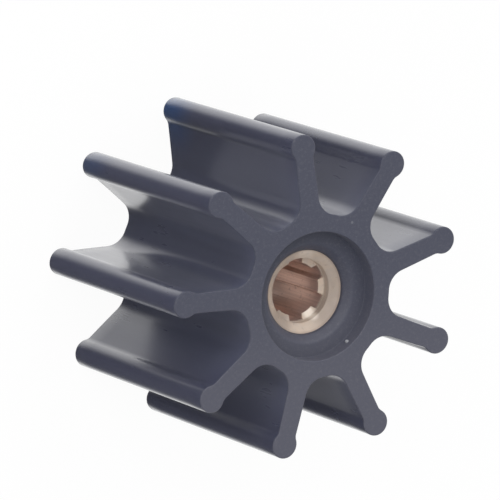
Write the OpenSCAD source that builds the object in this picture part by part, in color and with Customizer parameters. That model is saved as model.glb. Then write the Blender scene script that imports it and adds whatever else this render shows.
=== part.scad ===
// Flexible-vane pump impeller: a moulded rubber rotor bonded round a splined bronze insert.
// The axis is Z, the rear end face lies at z = 0 and the front end face at z = rotor_l.

/* [Rotor] */
// Diameter over the tips of the vanes
tip_d = 65; // [56:0.5:90]
// Length between the two end faces
rotor_l = 50; // [20:1:120]
// Number of vanes
vane_n = 9; // [6:1:10]
// Direction of the first vane, in degrees from +X
first_vane = 90; // [0:1:90]
// Diameter of the hub at the floor between two vanes
hub_d = 32.6; // [29:0.2:38]

/* [Vane] */
// Thickness of a vane where it leaves the hub
web_root_t = 4.4; // [3:0.1:6]
// Thickness of a vane just below its tip bead
web_tip_t = 3.9; // [2.5:0.1:5]
// Diameter of the round bead along the tip
bead_d = 5.4; // [4.2:0.1:7]
// Radius that blends the bead into the vane
neck_fillet = 2; // [0.5:0.1:4]
// Radius in the corner between vane and hub
root_fillet = 4.1; // [1:0.1:5]

/* [End recess] */
// Diameter of the round recess in each end face
recess_d = 25.5; // [23:0.1:28]
// Depth of the recess floor below the end face
recess_depth = 3.4; // [1:0.1:6]
// Height of the rubber lip from the insert's end up to the recess floor
lip_h = 1.9; // [0.6:0.1:4]
// How far the lip's bevelled edge widens over that height
lip_bevel = 1.5; // [0.2:0.1:2]

/* [Insert] */
// Outside diameter of the insert
insert_d = 21; // [19.4:0.1:24]
// Chamfer on the insert's outer edges
insert_chamfer = 0.6; // [0.2:0.1:1]
// Number of keying flutes along the outside
flute_n = 12; // [6:1:18]
// Radius of the cutter that leaves each flute
flute_r = 1.2; // [0.8:0.1:2]
// Depth of each flute
flute_depth = 0.6; // [0.2:0.1:0.7]
// Diameter of the 45 degree countersink at each end
countersink_d = 16.6; // [14.4:0.1:18.6]

/* [Spline] */
// Number of grooves
groove_n = 6; // [4:1:8]
// Diameter across the bottoms of the grooves
groove_d = 12.8; // [12.2:0.1:14]
// Diameter across the crests of the teeth
crest_d = 10.6; // [9:0.1:11.6]
// Width of each groove
groove_w = 3; // [1.5:0.1:3.6]
// Angle from the first vane to the first groove
groove_turn = -6; // [-30:1:30]
// Diameter at which the flatter face on the tooth ends starts
tooth_face_d = 12; // [11.7:0.1:12.8]
// Slope of that face against the end plane, in degrees
tooth_face_slope = 20; // [5:1:40]

/* [Hidden] */
$fn = 128;
tip_r = tip_d / 2;
hub_r = hub_d / 2;
bead_r = bead_d / 2;
bead_at = tip_r - bead_r;
recess_r = recess_d / 2;
insert_r = insert_d / 2;
sink_r = countersink_d / 2;
groove_r = groove_d / 2;
crest_r = crest_d / 2;
tooth_face_r = tooth_face_d / 2;
// Each end of the insert lies this far below the rotor's end face
insert_depth = recess_depth + lip_h;
insert_l = rotor_l - 2 * insert_depth;
// Cutters run this far past the faces that they open
past = 1;
// Hub and vanes are drawn this long, then trimmed to the end faces
rough_l = rotor_l + 2 * past;
// Fillets cut this far into the surfaces that they blend, so that the arcs cross cleanly
blend_overlap = 0.002;

// One side of a vane is a straight line from the hub to the bead's centre
flank_from = [hub_r, web_root_t / 2];
flank_to = [bead_at, web_tip_t / 2];
flank_angle = atan2(flank_to.y - flank_from.y, flank_to.x - flank_from.x);
flank_along = [cos(flank_angle), sin(flank_angle)];
flank_out = [-sin(flank_angle), cos(flank_angle)];

// Centre of a fillet of radius r that blends the flank into the circle of radius around at
// [middle, 0]. It cuts into both by the overlap; side is -1 towards the hub and 1 towards the tip.
function fillet_centre(r, middle, around, side) =
    let (from_middle = flank_from + (r - blend_overlap) * flank_out - [middle, 0])
    let (along = from_middle * flank_along)
    let (far = around + r - blend_overlap)
    let (reach = sqrt(along * along - from_middle * from_middle + far * far))
    [middle, 0] + from_middle + (side * reach - along) * flank_along;

// Two neighbouring root fillets may meet at the middle of the floor but not cross
half_gap = 180 / vane_n;
root_limit = (hub_r * sin(half_gap) - flank_from.y) / (1 - sin(half_gap));
root_r = min(root_fillet, 0.98 * root_limit);
neck_at = fillet_centre(neck_fillet, bead_at, bead_r, -1);
root_at = fillet_centre(root_r, 0, hub_r, 1);

// One half of a vane's outline from inside the hub to the bead. It runs through the centres of
// the two fillets, whose own circles then hollow it out.
vane_half = [
    root_at / 2,
    root_at,
    root_at - (root_r - blend_overlap) * flank_out,
    neck_at - (neck_fillet - blend_overlap) * flank_out,
    neck_at
];
other_half = [for (k = [len(vane_half) - 1 : -1 : 0]) [vane_half[k].x, -vane_half[k].y]];

// Cross-section of one vane's web, lying along +X and hollowed by its four fillets
module web_section() {
    difference() {
        polygon(concat(vane_half, [[bead_at, 0]], other_half));
        for (side = [0, 1]) {
            mirror([0, side]) {
                translate(root_at) circle(root_r);
                translate(neck_at) circle(neck_fillet);
            }
        }
    }
}

// One vane, web and tip bead, as long as the untrimmed hub
module vane() {
    linear_extrude(rough_l) web_section();
    translate([bead_at, 0, 0]) cylinder(r = bead_r, h = rough_l);
}

// Everything that is taken off at the rear end: the slice beyond the end face, and below it the
// stepped recess down to the insert and a little into it
module end_cut() {
    rotate_extrude()
        polygon([
            [0, -2 * past],
            [tip_r + past, -2 * past],
            [tip_r + past, 0],
            [recess_r, 0],
            [recess_r, recess_depth],
            [sink_r + lip_bevel, recess_depth],
            [sink_r, insert_depth],
            [sink_r, insert_depth + past],
            [0, insert_depth + past]
        ]);
}

// Outside form of the insert, which is also the seat that the rubber is moulded round
module insert_blank() {
    translate([0, 0, insert_depth])
        difference() {
            rotate_extrude()
                polygon([
                    [0, 0],
                    [insert_r - insert_chamfer, 0],
                    [insert_r, insert_chamfer],
                    [insert_r, insert_l - insert_chamfer],
                    [insert_r - insert_chamfer, insert_l],
                    [0, insert_l]
                ]);
            for (k = [0 : flute_n - 1]) {
                rotate(first_vane + k * 360 / flute_n)
                    translate([insert_r - flute_depth + flute_r, 0, -past])
                        cylinder(r = flute_r, h = insert_l + 2 * past);
            }
        }
}

// Cross-section of the splined bore
module spline_section() {
    circle(crest_r);
    intersection() {
        circle(groove_r);
        for (k = [0 : groove_n - 1]) {
            rotate(first_vane + groove_turn + k * 360 / groove_n)
                translate([0, -groove_w / 2]) square([2 * groove_r, groove_w]);
        }
    }
}

// Space of the countersink at the rear end, with the flatter step that faces the tooth ends
module countersink() {
    tooth_face_z = sink_r - tooth_face_r;
    crest_z = tooth_face_z + (tooth_face_r - crest_r) * tan(tooth_face_slope);
    translate([0, 0, insert_depth])
        rotate_extrude()
            polygon([
                [0, -past],
                [sink_r + past, -past],
                [tooth_face_r, tooth_face_z],
                [crest_r, crest_z],
                [0, crest_z]
            ]);
}

// The same thing once at the rear end and once, turned over, at the front end
module at_both_ends() {
    children();
    translate([0, 0, rotor_l]) mirror([0, 0, 1]) children();
}

// Hub and vanes, moulded in one piece
module rubber_rotor() {
    color([0.33, 0.33, 0.38])
        difference() {
            translate([0, 0, -past]) {
                cylinder(r = hub_r, h = rough_l);
                for (k = [0 : vane_n - 1]) {
                    rotate(first_vane + k * 360 / vane_n) vane();
                }
            }
            at_both_ends() end_cut();
            insert_blank();
        }
}

// Splined insert that drives the rotor
module bronze_insert() {
    color([0.74, 0.6, 0.48])
        difference() {
            insert_blank();
            translate([0, 0, insert_depth - past]) linear_extrude(insert_l + 2 * past) spline_section();
            at_both_ends() countersink();
        }
}

rubber_rotor();
bronze_insert();
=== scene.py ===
import math

import bmesh
import bpy
from mathutils import Matrix, Vector


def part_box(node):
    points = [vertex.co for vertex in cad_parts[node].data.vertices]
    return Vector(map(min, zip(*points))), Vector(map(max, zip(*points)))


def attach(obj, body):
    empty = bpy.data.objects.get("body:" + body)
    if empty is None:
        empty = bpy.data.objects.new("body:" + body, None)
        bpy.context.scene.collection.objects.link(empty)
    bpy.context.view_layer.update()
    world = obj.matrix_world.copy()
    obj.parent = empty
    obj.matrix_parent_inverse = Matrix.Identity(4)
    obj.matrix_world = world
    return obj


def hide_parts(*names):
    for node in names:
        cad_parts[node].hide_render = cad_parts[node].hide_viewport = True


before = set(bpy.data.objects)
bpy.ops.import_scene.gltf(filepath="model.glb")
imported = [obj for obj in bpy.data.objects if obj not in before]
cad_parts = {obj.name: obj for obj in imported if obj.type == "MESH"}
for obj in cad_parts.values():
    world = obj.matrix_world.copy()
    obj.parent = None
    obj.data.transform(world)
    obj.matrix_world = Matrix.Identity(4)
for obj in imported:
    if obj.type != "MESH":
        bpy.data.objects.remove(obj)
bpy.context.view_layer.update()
mm = 0.001
rotorLow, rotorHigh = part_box("rubber_rotor")
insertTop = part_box("bronze_insert")[1].z
rotorLength = rotorHigh.z - rotorLow.z
insertDepth = rotorLength - insertTop  # from either end face down to the insert
tipRadius = rotorHigh.y  # one vane points along +Y
print("frame loaded, rotor", round(rotorLength / mm, 2), "mm long")


class Wire:
    # a socket that takes part in sums and products

    def __init__(self, board, socket):
        self.board = board
        self.socket = socket

    def calc(self, operation, *values):
        return self.board.add("ShaderNodeMath", {"operation": operation}, list(values))

    def __add__(self, other):
        return self.calc("ADD", self, other)

    def __radd__(self, other):
        return self.calc("ADD", other, self)

    def __sub__(self, other):
        return self.calc("SUBTRACT", self, other)

    def __rsub__(self, other):
        return self.calc("SUBTRACT", other, self)

    def __mul__(self, other):
        return self.calc("MULTIPLY", self, other)

    def __rmul__(self, other):
        return self.calc("MULTIPLY", other, self)

    def __truediv__(self, other):
        return self.calc("DIVIDE", self, other)

    def __pow__(self, other):
        return self.calc("POWER", self, other)

    def __abs__(self):
        return self.calc("ABSOLUTE", self)

    def most(self, other):
        return self.calc("MAXIMUM", self, other)

    def sine(self):
        return self.calc("SINE", self)

    def ramp(self, low, high, outLow=0.0, outHigh=1.0):
        return self.board.add("ShaderNodeMapRange", {"interpolation_type": "SMOOTHSTEP"},
                              {"Value": self, "From Min": low, "From Max": high,
                               "To Min": outLow, "To Max": outHigh})


class Board:
    # a node tree that is filled by add()

    def __init__(self, tree):
        self.tree = tree

    def add(self, kind, settings=None, values=None, out=0):
        node = self.tree.nodes.new(kind)
        for name, value in (settings or {}).items():
            setattr(node, name, value)
        pairs = values.items() if isinstance(values, dict) else enumerate(values or [])
        for name, value in pairs:
            socket = node.inputs[name]
            if isinstance(value, Wire):
                self.tree.links.new(value.socket, socket)
            else:
                socket.default_value = value
        return Wire(self, node.outputs[out]) if node.outputs else node

    def blend(self, factor, first, second):
        # colours through a Mix node, whose colour sockets come after the float and vector ones
        return self.add("ShaderNodeMix", {"data_type": "RGBA"},
                        {0: factor, 6: first, 7: second}, out=2)

    def place(self):
        return self.add("ShaderNodeTexCoord", out="Object")

    def split(self, vector):
        first = self.add("ShaderNodeSeparateXYZ", {}, [vector])
        node = first.socket.node
        return [Wire(self, node.outputs[k]) for k in range(3)]

    def join(self, x, y, z):
        return self.add("ShaderNodeCombineXYZ", {}, [x, y, z])

    def noise(self, vector, scale, detail=2.0, rough=0.5):
        return self.add("ShaderNodeTexNoise", {},
                        {"Vector": vector, "Scale": scale, "Detail": detail, "Roughness": rough})

    def stretch(self, vector, x, y, z):
        return self.add("ShaderNodeVectorMath", {"operation": "MULTIPLY"}, [vector, (x, y, z)])

    def distance(self, first, second):
        return self.add("ShaderNodeVectorMath", {"operation": "DISTANCE"}, [first, second],
                        out="Value")


def newMaterial(name):
    material = bpy.data.materials.new(name)
    material.use_nodes = True
    material.node_tree.nodes.clear()
    return material, Board(material.node_tree)


def finishMaterial(board, shader):
    board.add("ShaderNodeOutputMaterial", {}, {"Surface": shader})


rubberLook = {
    "face": (0.073, 0.075, 0.103, 1),
    "shadedFace": (0.049, 0.053, 0.082, 1),
    "faceShadeBlend": (-20 * mm, 10 * mm),  # along Y, from the lit part of the end faces to their painted shade
    "flank": (0.064, 0.069, 0.108, 1),
    "bead": (0.041, 0.044, 0.076, 1),
    "beadShadeBlend": (20 * mm, 28.5 * mm),  # radius, from the webs to the beads, which are painted darker as shade
    "navy": (0.012, 0.048, 0.145, 1),
    "navySpots": (((-2, 31, 1), 12, 0.9), ((-21, 25, 2), 10, 0.4)),  # place, reach in mm, share
    "dust": (0.16, 0.16, 0.18, 1),
    "grainDust": 0.1,
    "speckleDust": 0.24,
    # light grey on the mould's nibs: a painted highlight for their glint
    "glintTone": (0.38, 0.39, 0.41, 1),
    "glintFade": 1.2,
    "endBlend": (0.1 * mm, 0.4 * mm),  # depth over which an end face's finish turns into skin
    "recessBlend": (0.6 * mm, 1.6 * mm),  # the same, outward from the recess wall
    "flankRough": 0.3,
    "faceRough": 0.56,
    "roughSwing": 0.1,
    "index": 1.5,
    "skin": 1.0,
    "skinRough": 0.2,
    "skinIndex": 1.56,
    "bloom": 0.08,
    "bloomRough": 0.5,
    "bloomTint": (0.9, 0.92, 1.0, 1),
    "grain": 0.00022,
    "waves": 0.012,
    "patchScale": 70,
    "streakScale": 900,
    "streakStretch": 0.12,
    "speckleScale": 1500,
    "skinShare": 0.3,  # how much of the grain and speckle the skin shows
    "grainHeight": 0.3,
    "streakHeight": 0.25,
    "waveHeight": 4,
    "bumpStrength": 0.5,
    "bumpDepth": 0.00006,
}


def rubberMaterial(look, length, recessRadius, glintSpots):
    # the moulded flanks keep a smooth skin, the ground end faces and the recess are matt
    material, b = newMaterial("mouldedNeoprene")
    place = b.place()
    x, y, z = b.split(place)
    outFromAxis = (x * x + y * y) ** 0.5
    inFromEnd = length / 2 - abs(z - length / 2)
    endFace = inFromEnd.ramp(*look["endBlend"], 1.0, 0.0)
    near, far = look["recessBlend"]
    recess = outFromAxis.ramp(recessRadius + near, recessRadius + far, 1.0, 0.0)
    ground = endFace.most(recess)
    detailShare = look["skinShare"] + ground * (1 - look["skinShare"])
    along = b.stretch(place, 1, 1, look["streakStretch"])
    patches = b.noise(place, look["patchScale"], 2.0)
    streaks = b.noise(along, look["streakScale"], 3.0, 0.6)
    grain = b.noise(place, 1 / look["grain"], 3.0, 0.6)
    waves = b.noise(along, 1 / look["waves"], 1.0)
    speckle = b.noise(place, look["speckleScale"], 3.0, 0.75)
    # the ground faces are painted lighter towards -Y and darker towards +Y: painted shade across
    # the end faces
    faceShading = b.blend(y.ramp(*look["faceShadeBlend"]), look["face"], look["shadedFace"])
    # the vane tips are painted darker than the webs: painted shade on the beads
    moulded = b.blend(outFromAxis.ramp(*look["beadShadeBlend"]), look["flank"], look["bead"])
    colour = b.blend(ground, moulded, faceShading)
    for spot, reach, share in look["navySpots"]:
        away = b.distance(place, tuple(n * mm for n in spot))
        stained = away.ramp(0, reach * mm, share, 0) * (1 - ground)
        colour = b.blend(stained, colour, look["navy"])
    dusty = grain.ramp(0.3, 0.75, 0.0, look["grainDust"]) * ground
    colour = b.blend(dusty, colour, look["dust"])
    speckled = speckle.ramp(0.48, 0.74, 0.0, look["speckleDust"]) * detailShare
    colour = b.blend(speckled, colour, look["dust"])
    # each nib is painted light grey around its centre: a painted highlight for its glint
    for spot, radius, glintShare in glintSpots:
        away = b.distance(place, spot)
        glintMask = away.ramp(radius, radius * look["glintFade"], glintShare, 0.0)
        colour = b.blend(glintMask, colour, look["glintTone"])
    rough = (look["flankRough"] + ground * (look["faceRough"] - look["flankRough"])
             + (streaks - 0.5) * look["roughSwing"] + (patches - 0.5) * look["roughSwing"])
    fine = grain * look["grainHeight"] + streaks * look["streakHeight"]
    bump = b.add("ShaderNodeBump", {}, {
        "Strength": look["bumpStrength"], "Distance": look["bumpDepth"],
        "Height": fine * detailShare + waves * look["waveHeight"]})
    finishMaterial(b, b.add("ShaderNodeBsdfPrincipled", {}, {
        "Base Color": colour, "Roughness": rough, "IOR": look["index"], "Normal": bump,
        "Coat Weight": look["skin"] * (1 - ground), "Coat Roughness": look["skinRough"],
        "Coat IOR": look["skinIndex"], "Sheen Weight": look["bloom"],
        "Sheen Roughness": look["bloomRough"], "Sheen Tint": look["bloomTint"]}))
    return material


bronzeLook = {
    "turned": (0.68, 0.55, 0.44, 1),
    "grey": (0.61, 0.52, 0.45, 1),
    # a darker tone: the bronze's own duller patches in the mottle, and painted shade on one side of
    # the ring and in two round areas
    "dullAndShade": (0.33, 0.27, 0.23, 1),
    # a light tone: painted highlight on a tooth's crest and the ring's top
    "highlight": (1.0, 0.91, 0.81, 1),
    "pink": (0.98, 0.78, 0.69, 1),
    # a dark tone: real stains and broach scoring, and painted shade along the mouth's edge
    "stainAndShade": (0.24, 0.17, 0.14, 1),
    # a purple-grey tone: painted shade in the bore near the tooth ends
    "boreShade": (0.34, 0.28, 0.31, 1),
    "mouthMetal": 0.2,
    "boreMetal": 0.8,
    "mouthRough": 0.42,
    "boreRough": 0.32,
    "roughSwing": 0.15,
    "shadeSide": (0.87, -0.5),  # the ring is painted darker in this direction: painted shade
    "shadeSideBlend": (-1 * mm, 8 * mm),
    "shadeSideShare": 0.7,
    "paintedLightMarks": (  # painted shade and painted highlights: place across the end in mm, reach in mm, share, tone
        ((5.3, -5.5), 3.2, 0.5, "dullAndShade"),
        ((-5.2, -4.9), 3.4, 0.5, "dullAndShade"),
        ((2.35, -5.2), 1.5, 0.6, "highlight"),
        ((1.3, 7.4), 2.6, 0.3, "highlight"),
    ),
    "markCore": 0.4,
    "mottle": 0.3,
    "spotShare": 0.3,
    "rimShadeBlend": (0.5 * mm, 0.05 * mm),  # inward from the mouth's edge, over which a dark band is painted as shade
    "rimShadeShare": 0.4,
    "toothBlend": (0.2 * mm, 0.1 * mm),  # inward from the countersink's foot
    "boreBlend": (0.05 * mm, 0.25 * mm),  # down from the tooth ends
    "broachShare": 0.25,
    "boreShadeReach": 7 * mm,
    "boreShadeShare": 0.35,
    "feed": 0.00016,
    "feedWobble": 4,
    "wobbleScale": 300,
    "broachScale": 2200,
    "broachStretch": 0.02,
    "cloudScale": 420,
    "spotScale": 1100,
    "mottleScale": 260,
    "feedHeight": 0.25,
    "broachHeight": 1.6,
    "cloudHeight": 0.5,
    "bumpStrength": 0.6,
    "bumpDepth": 0.00005,
}


def bronzeMaterial(look, length, mouthRadius, sinkRadius, toothDepth):
    # dull bronze, greyish where it is turned at the mouth and pinker in the broached bore
    material, b = newMaterial("turnedBronze")
    place = b.place()
    x, y, z = b.split(place)
    outFromAxis = (x * x + y * y) ** 0.5
    inFromEnd = length / 2 - abs(z - length / 2)
    near, far = look["boreBlend"]
    bore = inFromEnd.ramp(toothDepth + near, toothDepth + far)
    wobble = b.noise(place, look["wobbleScale"], 1.0) * look["feedWobble"]
    rings = (outFromAxis * (2 * math.pi / look["feed"]) + wobble).sine()
    lengthwise = b.stretch(place, 1, 1, look["broachStretch"])
    broach = b.noise(lengthwise, look["broachScale"], 3.0, 0.7)
    cloud = b.noise(place, look["cloudScale"], 3.0, 0.6)
    spots = b.noise(place, look["spotScale"], 2.0, 0.6).ramp(0.58, 0.75)
    mottle = b.noise(place, look["mottleScale"], 2.0, 0.6)
    colour = b.blend(cloud.ramp(0.35, 0.7), look["turned"], look["grey"])
    # painted shade: the ring darkens towards one side, standing in for how its turned face reflects
    # the light; the teeth are left out
    sideX, sideY = look["shadeSide"]
    side = (x * sideX + y * sideY).ramp(*look["shadeSideBlend"], 0.0, look["shadeSideShare"])
    start, stop = look["toothBlend"]
    tooth = outFromAxis.ramp(sinkRadius - start, sinkRadius - stop, 1.0, 0.0)
    colour = b.blend(side * (1 - tooth), colour, look["dullAndShade"])
    flat = b.join(x, y, 0.0)
    # each mark paints shade or a highlight onto the ring, one of them onto a tooth's crest
    for (across, up), reach, share, tone in look["paintedLightMarks"]:
        away = b.distance(flat, (across * mm, up * mm, 0))
        mark = away.ramp(reach * look["markCore"] * mm, reach * mm, share, 0.0)
        colour = b.blend(mark, colour, look[tone])
    colour = b.blend(mottle.ramp(0.45, 0.7, 0.0, look["mottle"]), colour, look["dullAndShade"])
    # painted shade: a dark band along the mouth's outer edge, where the ring meets the rubber lip
    start, stop = look["rimShadeBlend"]
    rim = outFromAxis.ramp(mouthRadius - start, mouthRadius - stop, 0.0, look["rimShadeShare"])
    colour = b.blend(bore, colour, look["pink"])
    colour = b.blend((spots * look["spotShare"]).most(rim), colour, look["stainAndShade"])
    scored = bore * broach.ramp(0.4, 0.7) * look["broachShare"]
    colour = b.blend(scored, colour, look["stainAndShade"])
    # painted shade: the bore is painted darker and purpler near the tooth ends, fading out deeper
    # in
    boreShading = inFromEnd.ramp(toothDepth, toothDepth + look["boreShadeReach"],
                               look["boreShadeShare"], 0.0)
    colour = b.blend(bore * boreShading, colour, look["boreShade"])
    metal = look["mouthMetal"] + bore * (look["boreMetal"] - look["mouthMetal"])
    rough = (look["mouthRough"] + bore * (look["boreRough"] - look["mouthRough"])
             + (cloud - 0.5) * look["roughSwing"])
    height = ((1 - bore) * rings * look["feedHeight"] + bore * broach * look["broachHeight"]
              + cloud * look["cloudHeight"])
    bump = b.add("ShaderNodeBump", {}, {
        "Strength": look["bumpStrength"], "Distance": look["bumpDepth"], "Height": height})
    finishMaterial(b, b.add("ShaderNodeBsdfPrincipled", {}, {
        "Base Color": colour, "Roughness": rough, "Metallic": metal, "Normal": bump}))
    return material


def ringTree(name):
    # sets a sector at each point of the base mesh, turned by that point's own angle, welds the
    # seams, then bends what lies beyond the hub sideways by the point's own lean and draws it
    # in by the point's own pull
    tree = bpy.data.node_groups.new(name, "GeometryNodeTree")
    tree.interface.new_socket("Stations", in_out="INPUT", socket_type="NodeSocketGeometry")
    for label, kind, value in (("Sector", "NodeSocketObject", None),
                               ("Weld", "NodeSocketFloat", 0.00001),
                               ("Stiff radius", "NodeSocketFloat", 0.017),
                               ("Tip radius", "NodeSocketFloat", 0.03),
                               ("Finish", "NodeSocketMaterial", None)):
        socket = tree.interface.new_socket(label, in_out="INPUT", socket_type=kind)
        if value is not None:
            socket.default_value = value
    tree.interface.new_socket("Ring", in_out="OUTPUT", socket_type="NodeSocketGeometry")
    b = Board(tree)
    given = tree.nodes.new("NodeGroupInput")
    take = {s.name: Wire(b, s) for s in given.outputs if s.name}

    def attribute(label):
        return b.add("GeometryNodeInputNamedAttribute", {"data_type": "FLOAT"}, {"Name": label})

    sector = b.add("GeometryNodeObjectInfo", {"transform_space": "ORIGINAL"},
                   {"Object": take["Sector"]}, out="Geometry")
    facing = b.add("FunctionNodeEulerToRotation", {}, [b.join(0.0, 0.0, attribute("turn"))])
    turned = b.add("GeometryNodeInstanceOnPoints", {}, {
        "Points": take["Stations"], "Instance": sector, "Rotation": facing})
    whole = b.add("GeometryNodeRealizeInstances", {}, {"Geometry": turned})
    welded = b.add("GeometryNodeMergeByDistance", {}, {
        "Geometry": whole, "Distance": take["Weld"]})
    place = b.add("GeometryNodeInputPosition")
    x, y = b.split(place)[:2]
    outFromAxis = (x * x + y * y) ** 0.5
    bendLength = take["Tip radius"] - take["Stiff radius"]
    reach = ((outFromAxis - take["Stiff radius"]) / bendLength).most(0.0)
    bent = b.add("ShaderNodeVectorRotate", {"rotation_type": "Z_AXIS"},
                 {"Vector": place, "Angle": attribute("lean") * reach})
    across, up, height = b.split(bent)
    shorter = 1 - attribute("pull") * reach / outFromAxis.most(take["Weld"])
    drawn = b.join(across * shorter, up * shorter, height)
    leaning = b.add("GeometryNodeSetPosition", {}, {"Geometry": welded, "Position": drawn})
    finished = b.add("GeometryNodeSetMaterial", {}, {
        "Geometry": leaning, "Material": take["Finish"]})
    done = tree.nodes.new("NodeGroupOutput")
    tree.links.new(finished.socket, done.inputs["Ring"])
    return tree


def makeRing(name, sector, stations, finish, tree, bend, wear=None):
    # stations holds each sector's turn and lean in degrees and its pull in metres
    points = bpy.data.meshes.new(name + "Stations")
    points.from_pydata([(0, 0, 0)] * len(stations), [], [])
    turns, leans, pulls = zip(*stations)
    for label, numbers in (("turn", [math.radians(n) for n in turns]),
                           ("lean", [math.radians(n) for n in leans]), ("pull", pulls)):
        layer = points.attributes.new(label, "FLOAT", "POINT")
        layer.data.foreach_set("value", numbers)
    base = bpy.data.objects.new(name + "Base", points)
    bpy.context.scene.collection.objects.link(base)
    modifier = base.modifiers.new("ring", "NODES")
    modifier.node_group = tree
    chosen = {"Sector": sector, "Stiff radius": bend[0], "Tip radius": bend[1], "Finish": finish}
    for item in tree.interface.items_tree:
        if item.name in chosen:
            modifier[item.identifier] = chosen[item.name]
    if wear:
        rounding = base.modifiers.new("edges", "BEVEL")
        rounding.width, rounding.segments, degrees = wear
        rounding.limit_method = "ANGLE"
        rounding.angle_limit = math.radians(degrees)
    bpy.context.view_layer.update()
    ready = base.evaluated_get(bpy.context.evaluated_depsgraph_get())
    mesh = bpy.data.meshes.new_from_object(ready)
    base.modifiers.clear()
    bpy.data.objects.remove(base)
    bpy.data.objects.remove(sector)
    mesh.name = name
    piece = bpy.data.objects.new(name, mesh)
    bpy.context.scene.collection.objects.link(piece)
    return piece


def sectorObject(name, bm, weldGap=0.002 * mm, sliver=0.001 * mm):
    bmesh.ops.remove_doubles(bm, verts=bm.verts, dist=weldGap)
    bmesh.ops.dissolve_degenerate(bm, edges=bm.edges, dist=sliver)
    mesh = bpy.data.meshes.new(name)
    bm.to_mesh(mesh)
    bm.free()
    thing = bpy.data.objects.new(name, mesh)
    bpy.context.scene.collection.objects.link(thing)
    return thing


def gridFaces(bm, rows):
    # rows of vertices, joined into smooth quads that face left of the way the rows run
    for low, high in zip(rows, rows[1:]):
        for k in range(len(low) - 1):
            face = bm.faces.new((low[k], low[k + 1], high[k + 1], high[k]))
            face.smooth = True


def ringOfVerts(bm, points):
    # a row of vertices from (radius, angle, height)
    return [bm.verts.new((radius * math.cos(a), radius * math.sin(a), height))
            for radius, a, height in points]


def arc(centre, radius, start, stop, steps):
    return [Vector((centre[0] + radius * math.cos(a), centre[1] + radius * math.sin(a)))
            for a in (start + (stop - start) * k / steps for k in range(steps + 1))]


rotor = {
    "vanes": 9,
    "firstVane": 90,
    "lean": (0.7, -0.5, 0.3, 0.95, 0.6, -0.45, 0.8, 1.3, 1.35),  # degrees, first vane first
    "hubRadius": 16.3 * mm,
    "rootThickness": 4.4 * mm,
    "tipThickness": 3.9 * mm,
    "beadRadius": 2.7 * mm,
    "neckFillet": 2.0 * mm,
    "rootFillet": 4.1 * mm,
    "edgeRadius": 0.25 * mm,
    "recessRadius": 12.75 * mm,
    "recessDepth": 3.4 * mm,
    "recessFillet": 0.12 * mm,
    "lipRadius": 9.8 * mm,
    "lipEdge": 0.5 * mm,
    "noseRadius": 8.75 * mm,
    "noseDrop": 1.25 * mm,
    "noseEdge": 0.2 * mm,
    "mouthRadius": 8.3 * mm,
    "seatRadius": 10.5 * mm,
    "seatChamfer": 0.6 * mm,
    "boxGap": 0.01 * mm,
    "beadSteps": 12,
    "neckSteps": 6,
    "webSteps": 4,
    "rootSteps": 10,
    "floorSteps": 2,
    "ringSteps": 16,
    "edgeSteps": 4,
    "lengthSteps": 10,
}


def vaneOutline(r):
    # one sector's outline for a vane along +X, from the middle of one gap to the middle of the
    # next, as (point, outward normal) pairs
    beadAt = tipRadius - r["beadRadius"]
    flankFrom = Vector((r["hubRadius"], r["rootThickness"] / 2))
    flankTo = Vector((beadAt, r["tipThickness"] / 2))
    alongFlank = (flankTo - flankFrom).normalized()
    outward = Vector((-alongFlank.y, alongFlank.x))

    def filletCentre(radius, middle, around, side):
        # side is -1 towards the hub and 1 towards the tip
        start = flankFrom + radius * outward - Vector((middle, 0))
        shift = start.dot(alongFlank)
        reach = math.sqrt(shift * shift - start.dot(start) + (around + radius) ** 2)
        return Vector((middle, 0)) + start + (side * reach - shift) * alongFlank

    neck = filletCentre(r["neckFillet"], beadAt, r["beadRadius"], -1)
    root = filletCentre(r["rootFillet"], 0, r["hubRadius"], 1)
    neckAngle = math.atan2(neck.y, neck.x - beadAt)
    rootAngle = math.atan2(root.y, root.x)
    flankAngle = math.atan2(-outward.y, -outward.x)
    half = []
    for p in arc((beadAt, 0), r["beadRadius"], 0, neckAngle, r["beadSteps"]):
        half.append((p, (p - Vector((beadAt, 0))).normalized()))
    for p in arc(neck, r["neckFillet"], neckAngle - math.pi, flankAngle, r["neckSteps"])[1:]:
        half.append((p, (neck - p).normalized()))
    rootArc = arc(root, r["rootFillet"], flankAngle, rootAngle - math.pi, r["rootSteps"])
    last = half[-1][0]
    for k in range(1, r["webSteps"]):
        half.append((last.lerp(rootArc[0], k / r["webSteps"]), outward.copy()))
    for p in rootArc:
        half.append((p, (root - p).normalized()))
    halfGap = math.pi / r["vanes"]
    for p in arc((0, 0), r["hubRadius"], rootAngle, halfGap, r["floorSteps"])[1:]:
        half.append((p, p.normalized()))
    mirrored = [(Vector((p.x, -p.y)), Vector((n.x, -n.y))) for p, n in reversed(half[1:])]
    return mirrored + half


def softCorner(before, corner, after, reach, steps):
    # a rounded corner from reach before it to reach after it
    first = corner + (before - corner).normalized() * reach
    last = corner + (after - corner).normalized() * reach
    return [tuple(first.lerp(corner, t).lerp(corner.lerp(last, t), t))
            for t in (k / steps for k in range(steps + 1))]


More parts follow.
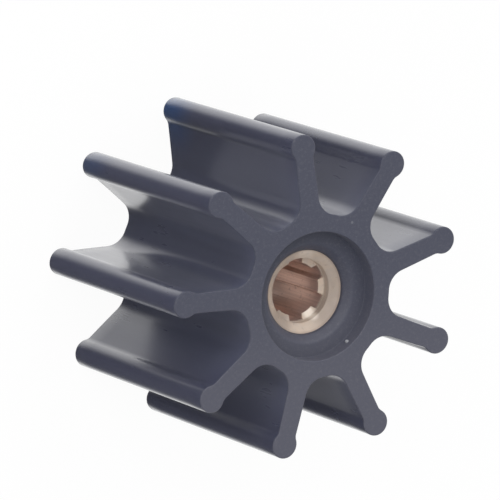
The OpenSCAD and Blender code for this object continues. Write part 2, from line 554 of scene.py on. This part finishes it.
def recessProfile(r):
    # radius and depth from the recess rim, down the lip's bevel and over its nose, to the
    # insert's outer edge
    edge, fillet, steps = r["edgeRadius"], r["recessFillet"], r["edgeSteps"]
    depth = r["recessDepth"]
    quarter = [math.pi / 2 * k / steps for k in range(steps + 1)]
    points = [(r["recessRadius"] + edge * (1 - math.sin(a)), edge * (1 - math.cos(a)))
              for a in quarter]
    points += [(r["recessRadius"] - fillet * (1 - math.cos(a)),
                depth - fillet * (1 - math.sin(a))) for a in quarter]
    foot = Vector((r["recessRadius"] - fillet, depth))
    shoulder = Vector((r["lipRadius"], depth))
    nose = Vector((r["noseRadius"], depth + r["noseDrop"]))
    mouth = Vector((r["mouthRadius"], insertDepth))
    points += softCorner(foot, shoulder, nose, r["lipEdge"], steps)
    points += softCorner(shoulder, nose, mouth, r["noseEdge"], steps)
    points.append(tuple(mouth))
    points.append((r["seatRadius"] - r["seatChamfer"], insertDepth))
    points.append((r["seatRadius"], insertDepth + r["seatChamfer"]))
    return points


def rotorSector(r):
    bm = bmesh.new()
    edge = r["edgeRadius"]
    lower = []  # height and inset of each row of the outer wall, from the rear end up
    for k in range(r["edgeSteps"], -1, -1):
        a = math.pi / 2 * k / r["edgeSteps"]
        lower.append((edge * (1 - math.sin(a)), edge * (1 - math.cos(a))))
    straight = rotorLength - 2 * edge
    middle = [(edge + straight * k / r["lengthSteps"], 0) for k in range(1, r["lengthSteps"])]
    upper = [(rotorLength - height, inset) for height, inset in reversed(lower)]
    outline = vaneOutline(r)
    wall = [[bm.verts.new((p.x - n.x * inset, p.y - n.y * inset, height)) for p, n in outline]
            for height, inset in lower + middle + upper]
    gridFaces(bm, wall)

    halfGap = math.pi / r["vanes"]
    steps = r["ringSteps"]
    angles = [-halfGap + 2 * halfGap * k / steps for k in range(steps + 1)]
    inner = recessProfile(r)
    front = [ringOfVerts(bm, [(radius, a, rotorLength - depth) for a in angles])
             for radius, depth in inner]
    rear = [ringOfVerts(bm, [(radius, a, depth) for a in angles]) for radius, depth in inner]
    gridFaces(bm, front)
    gridFaces(bm, [list(reversed(row)) for row in rear])
    gridFaces(bm, [front[-1], rear[-1]])  # the seat along the insert
    bm.faces.new(wall[-1] + list(reversed(front[0]))).smooth = False
    bm.faces.new(list(reversed(wall[0])) + rear[0]).smooth = False
    return sectorObject("rotorSector", bm)


def pullInside(r, turn, lean):
    # how far a leaning vane has to be drawn in, so that its bead stays inside the frame's box
    beadAt = tipRadius - r["beadRadius"]
    a = math.radians(turn + lean)
    return max(0, beadAt * abs(math.cos(a)) + r["beadRadius"] + r["boxGap"] - rotorHigh.x)


nibs = (  # place, radius, share of painted highlight: nibs left by the mould's vents on recess wall and front face, painted light grey as their glint
    ((6.62 * mm, -10.84 * mm, rotorLength - 1.9 * mm), 0.38 * mm, 0.75),
    ((9.05 * mm, 13.1 * mm, rotorLength - 0.05 * mm), 0.25 * mm, 0.2),
)


def addNibs(mesh, spots):
    # low domes sunk into the surface, kept below the end face
    bm = bmesh.new()
    bm.from_mesh(mesh)
    finish = mesh.polygons[0].material_index
    for spot, radius, glintShare in spots:
        room = min(1.0, (rotorLength - spot[2]) / radius)
        place = Matrix.Translation(spot) @ Matrix.Diagonal((1, 1, room, 1))
        made = bmesh.ops.create_icosphere(bm, subdivisions=2, radius=radius, matrix=place)
        for face in {f for v in made["verts"] for f in v.link_faces}:
            face.smooth = True
            face.material_index = finish
    bm.to_mesh(mesh)
    bm.free()


insert = {
    "grooves": 6,
    "firstGroove": 84,
    "grooveRadius": 6.4 * mm,
    "crestRadius": 5.3 * mm,
    "grooveWidth": 3.0 * mm,
    "mouthRadius": 8.3 * mm,
    "sinkRadius": 6.46 * mm,
    "sinkDrop": 1.45 * mm,
    "toothDrop": 3.0 * mm,
    "toothSlope": 22,
    "outerRadius": 10.5 * mm,
    "chamfer": 0.6 * mm,
    "flutes": 12,
    "fluteRadius": 1.2 * mm,
    "fluteDepth": 0.6 * mm,
    "edgeWear": (0.2 * mm, 2, 18),  # width, segments, and the angle in degrees that counts
    "grooveSteps": 6,
    "wallSteps": 4,
    "crestSteps": 5,
    "sinkRows": (0, 0.4, 0.75, 1.0),
    "lengthSteps": 6,
}


def splineOutline(s):
    # one pitch of the spline, from tooth middle to tooth middle, as (radius, angle) pairs
    halfPitch = math.pi / s["grooves"]
    halfWidth = s["grooveWidth"] / 2
    crestEdge = math.asin(halfWidth / s["crestRadius"])
    grooveEdge = math.asin(halfWidth / s["grooveRadius"])
    half = [(s["grooveRadius"], grooveEdge * k / s["grooveSteps"])
            for k in range(s["grooveSteps"] + 1)]
    deep = s["grooveRadius"] * math.cos(grooveEdge)
    shallow = s["crestRadius"] * math.cos(crestEdge)
    for k in range(1, s["wallSteps"] + 1):
        across = deep + (shallow - deep) * k / s["wallSteps"]
        half.append((math.hypot(across, halfWidth), math.atan2(halfWidth, across)))
    for k in range(1, s["crestSteps"] + 1):
        a = crestEdge + (halfPitch - crestEdge) * k / s["crestSteps"]
        half.append((s["crestRadius"], a))
    return [(radius, -a) for radius, a in reversed(half[1:])] + half


def flutedRadius(s, a):
    # radius of the insert's outside at this angle from the groove's middle
    pitch = 2 * math.pi / s["flutes"]
    world = a + math.radians(s["firstGroove"] - rotor["firstVane"])
    off = abs((world + pitch / 2) % pitch - pitch / 2)
    centre = s["outerRadius"] - s["fluteDepth"] + s["fluteRadius"]
    under = s["fluteRadius"] ** 2 - (centre * math.sin(off)) ** 2
    if under < 0:
        return s["outerRadius"]
    return min(s["outerRadius"], centre * math.cos(off) - math.sqrt(under))


def insertSector(s):
    bm = bmesh.new()
    outline = splineOutline(s)
    sink = s["sinkRadius"]
    shoulder = s["outerRadius"] - s["chamfer"]
    slope = math.tan(math.radians(s["toothSlope"]))
    toothEnd = insertDepth + s["toothDrop"]
    angles = [a for radius, a in outline]
    ends = []
    for flip in (False, True):
        def up(depth):
            return depth if flip else rotorLength - depth

        def level(radius, height):
            return ringOfVerts(bm, [(radius, a, height) for a in angles])

        sinkEnd, brim = up(insertDepth + s["sinkDrop"]), up(insertDepth)
        rows = [ringOfVerts(bm, [(radius, a, up(toothEnd + (sink - radius) * slope))
                                 for radius, a in outline]),
                level(sink, up(toothEnd))]
        for t in s["sinkRows"]:
            rows.append(level(sink + (s["mouthRadius"] - sink) * t, sinkEnd + (brim - sinkEnd) * t))
        rows.append(ringOfVerts(bm, [(min(flutedRadius(s, a), shoulder), a, brim)
                                     for a in angles]))
        rows.append(ringOfVerts(bm, [(flutedRadius(s, a), a, up(insertDepth + s["chamfer"]))
                                     for a in angles]))
        ends.append(rows)
    front, rear = ends
    gridFaces(bm, [list(reversed(row)) for row in front])
    gridFaces(bm, rear)
    inside = [front[0]]
    for k in range(1, s["lengthSteps"]):
        t = k / s["lengthSteps"]
        inside.append(ringOfVerts(bm, [(radius, a, f.co.z + (g.co.z - f.co.z) * t)
                                       for (radius, a), f, g in zip(outline, front[0], rear[0])]))
    inside.append(rear[0])
    gridFaces(bm, inside)
    gridFaces(bm, [list(reversed(front[-1])), list(reversed(rear[-1]))])
    return sectorObject("insertSector", bm)


tree = ringTree("sectorRing")
neoprene = rubberMaterial(rubberLook, rotorLength, rotor["recessRadius"], nibs)
vaneStations = []
for k, lean in enumerate(rotor["lean"]):
    turn = rotor["firstVane"] - 360 / rotor["vanes"] * k
    vaneStations.append((turn, lean, pullInside(rotor, turn, lean)))
vaneBend = (rotor["hubRadius"] + rotor["rootFillet"] / 2, tipRadius - rotor["beadRadius"])
rotorPiece = makeRing("rotorBody", rotorSector(rotor), vaneStations, neoprene, tree, vaneBend)
addNibs(rotorPiece.data, nibs)
print("rotor", len(rotorPiece.data.polygons), "faces")

toothRise = insert["sinkRadius"] - insert["crestRadius"]
toothSlant = toothRise * math.tan(math.radians(insert["toothSlope"]))
bronze = bronzeMaterial(bronzeLook, rotorLength, insert["mouthRadius"], insert["sinkRadius"],
                        insertDepth + insert["toothDrop"] + toothSlant)
grooveStations = [(insert["firstGroove"] + 360 / insert["grooves"] * k, 0, 0)
                  for k in range(insert["grooves"])]
noBend = (1.0, 2.0)  # radii far outside the insert, which stays straight
insertPiece = makeRing("driveInsert", insertSector(insert), grooveStations, bronze, tree, noBend,
                       insert["edgeWear"])
print("insert", len(insertPiece.data.polygons), "faces")

for piece, node, slot in ((rotorPiece, "rubber_rotor", "rubber"),
                          (insertPiece, "bronze_insert", "bronze")):
    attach(piece, "root")
    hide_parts(node)


studio = {
    "floorSize": 6.0,
    "floorGap": 0.05 * mm,
    "whiteShare": 0.95,  # the rest of what the camera sees is lit paper, which keeps the shadow
    "floorTone": (0.9, 0.9, 0.9, 1),
    "skyLevel": 0.72,
    "brightSide": 10,  # degrees from +X
    "sideBlend": (-0.6, 0.4),
    "darkSideLevel": 0.04,
    "overheadBlend": (0.1, 0.6),
    "overheadShare": 0.6,
    "lamps": (  # name, place, size in metres, power in watts
        ("keyLamp", (-0.75, 0.82, 0.95), 1.1, 8.0),
        ("sideLamp", (0.45, 1.15, 0.80), 1.0, 5.6),
        ("fillLamp", (-1.15, -0.55, 0.85), 1.3, 3.2),
    ),
}
white = (1, 1, 1, 1)


def rayKind(b, *kinds):
    # 1 for rays of these kinds
    first = b.add("ShaderNodeLightPath", out=kinds[0])
    total = first
    for kind in kinds[1:]:
        total = total.most(Wire(b, first.socket.node.outputs[kind]))
    return total


def makeFloor(s):
    # white paper for the camera, plain paper for the light that it throws back, and open to
    # reflections, which then see the studio's bright and dark sides
    material, b = newMaterial("whitePaper")
    paper = b.add("ShaderNodeBsdfDiffuse", {}, {"Color": s["floorTone"]})
    glow = b.add("ShaderNodeEmission", {}, {"Color": white, "Strength": 1.0})
    straight = rayKind(b, "Is Camera Ray") * s["whiteShare"]
    seen = b.add("ShaderNodeMixShader", {}, [straight, paper, glow])
    clear = b.add("ShaderNodeBsdfTransparent")
    mirrored = rayKind(b, "Is Glossy Ray", "Is Transmission Ray")
    finishMaterial(b, b.add("ShaderNodeMixShader", {}, [mirrored, seen, clear]))
    half = s["floorSize"] / 2
    mesh = bpy.data.meshes.new("floor")
    low = rotorLow.z - s["floorGap"]  # just clear of the rear end face
    corners = [(-half, -half, low), (half, -half, low), (half, half, low), (-half, half, low)]
    mesh.from_pydata(corners, [], [(0, 1, 2, 3)])
    mesh.materials.append(material)
    floor = bpy.data.objects.new("floor", mesh)
    bpy.context.scene.collection.objects.link(floor)


def makeSky(s):
    # an even sky lights the object; reflections see a white side, a dark side and a greyer top
    world = bpy.data.worlds.new("studio")
    world.use_nodes = True
    world.node_tree.nodes.clear()
    bpy.context.scene.world = world
    b = Board(world.node_tree)
    x, y, z = b.split(b.add("ShaderNodeTexCoord", out="Generated"))
    bright = math.radians(s["brightSide"])
    flat = ((x * x + y * y) ** 0.5).most(0.001)  # never zero, also straight up
    facing = (x * math.cos(bright) + y * math.sin(bright)) / flat
    level = facing.ramp(*s["sideBlend"], s["darkSideLevel"], 1.0)
    level = level * z.ramp(*s["overheadBlend"], 1.0, s["overheadShare"])
    mirrored = rayKind(b, "Is Glossy Ray", "Is Transmission Ray")
    straight = rayKind(b, "Is Camera Ray")
    plain = s["skyLevel"]
    strength = plain + mirrored * (level - plain) + straight * (1 - plain)
    b.add("ShaderNodeOutputWorld", {}, {"Surface": b.add(
        "ShaderNodeBackground", {}, {"Color": white, "Strength": strength})})


def makeLamps(s):
    for name, spot, size, power in s["lamps"]:
        data = bpy.data.lights.new(name, "AREA")
        data.shape = "DISK"
        data.size = size
        data.energy = power
        lamp = bpy.data.objects.new(name, data)
        bpy.context.scene.collection.objects.link(lamp)
        lamp.location = spot
        lamp.rotation_euler = (-Vector(spot)).to_track_quat("-Z", "Y").to_euler()


camera = {  # fitted to the outline in the photo
    "place": (-0.58544, 0.30439, 1.06093),
    "right": (0.85621, -0.08782, 0.50911),
    "forward": (0.47704, -0.24394, -0.84435),
    "lens": 446.47,
    "sensor": 36,
    "nearest": 0.05,
    "farthest": 50,
}


def makeCamera(c):
    data = bpy.data.cameras.new("photoCamera")
    data.lens = c["lens"]
    data.sensor_width = c["sensor"]
    data.clip_start = c["nearest"]
    data.clip_end = c["farthest"]
    view = bpy.data.objects.new("photoCamera", data)
    bpy.context.scene.collection.objects.link(view)
    forward = Vector(c["forward"]).normalized()
    right = Vector(c["right"])
    right = (right - forward * right.dot(forward)).normalized()
    up = right.cross(forward)
    turned = Matrix((right, up, -forward)).transposed().to_4x4()
    view.matrix_world = Matrix.Translation(c["place"]) @ turned
    bpy.context.scene.camera = view


makeFloor(studio)
makeSky(studio)
makeLamps(studio)
makeCamera(camera)
bpy.context.scene.view_settings.view_transform = "Standard"
print("studio ready")
